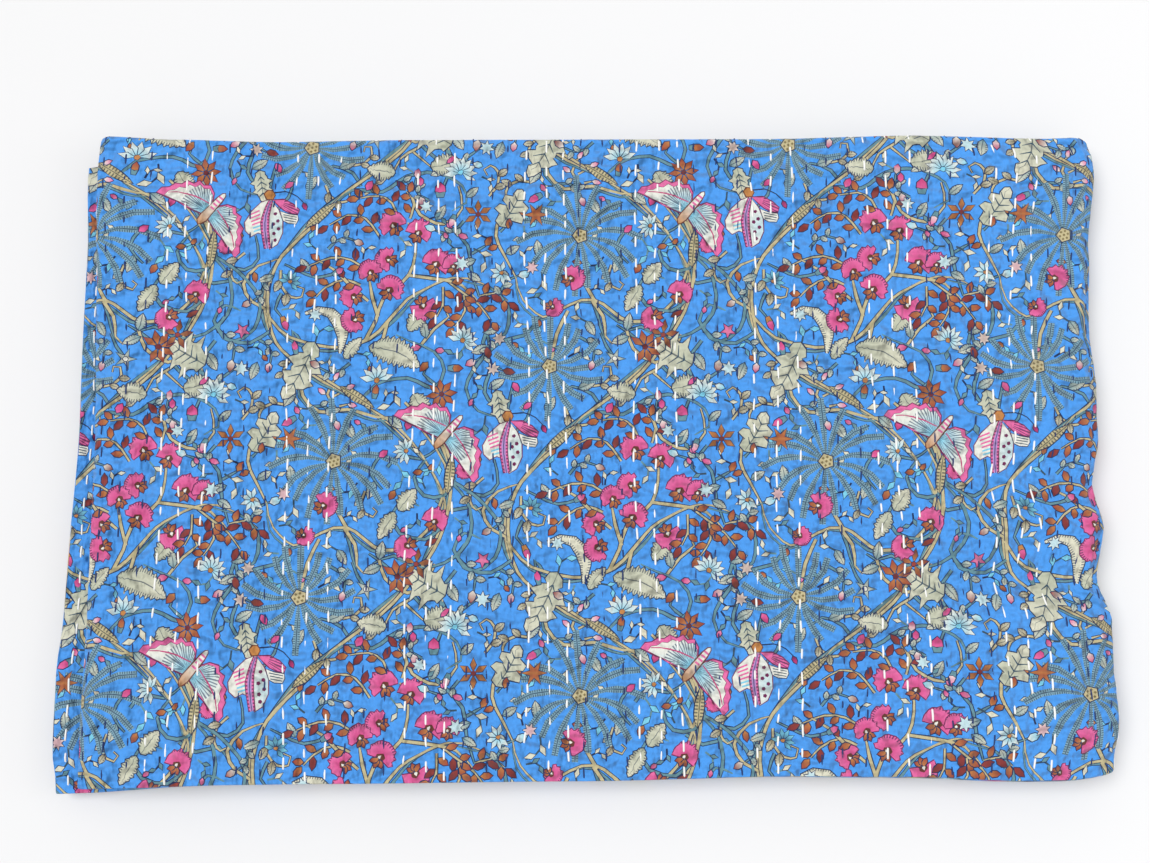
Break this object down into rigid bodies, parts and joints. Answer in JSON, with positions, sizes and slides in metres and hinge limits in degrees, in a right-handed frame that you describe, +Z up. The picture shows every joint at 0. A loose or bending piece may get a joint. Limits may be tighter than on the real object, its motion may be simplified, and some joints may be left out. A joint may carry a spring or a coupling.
{
  "type": "folded quilt",
  "caption": "Hand-quilted printed cotton bedcover with running-stitch rows, folded in half and half again to a flat rectangular stack, loose hems at one side",
  "frame": {"origin": "centre of the bounding box's underside, where the folded stack lies on its surface", "axes": "+X along the longer side of the stack, from the side with the loose hems towards the two big folds; +Y towards the side where the book folds of the packs lie; +Z up, the thickness of the stack"},
  "size_m": [0.5886, 0.372, 0.027],
  "materials": {
    "printed_cotton": "soft matt printed cotton with stitched rows"
  },
  "bodies": {
    "root": {"quilt": "printed_cotton"}
  },
  "joints": []
}
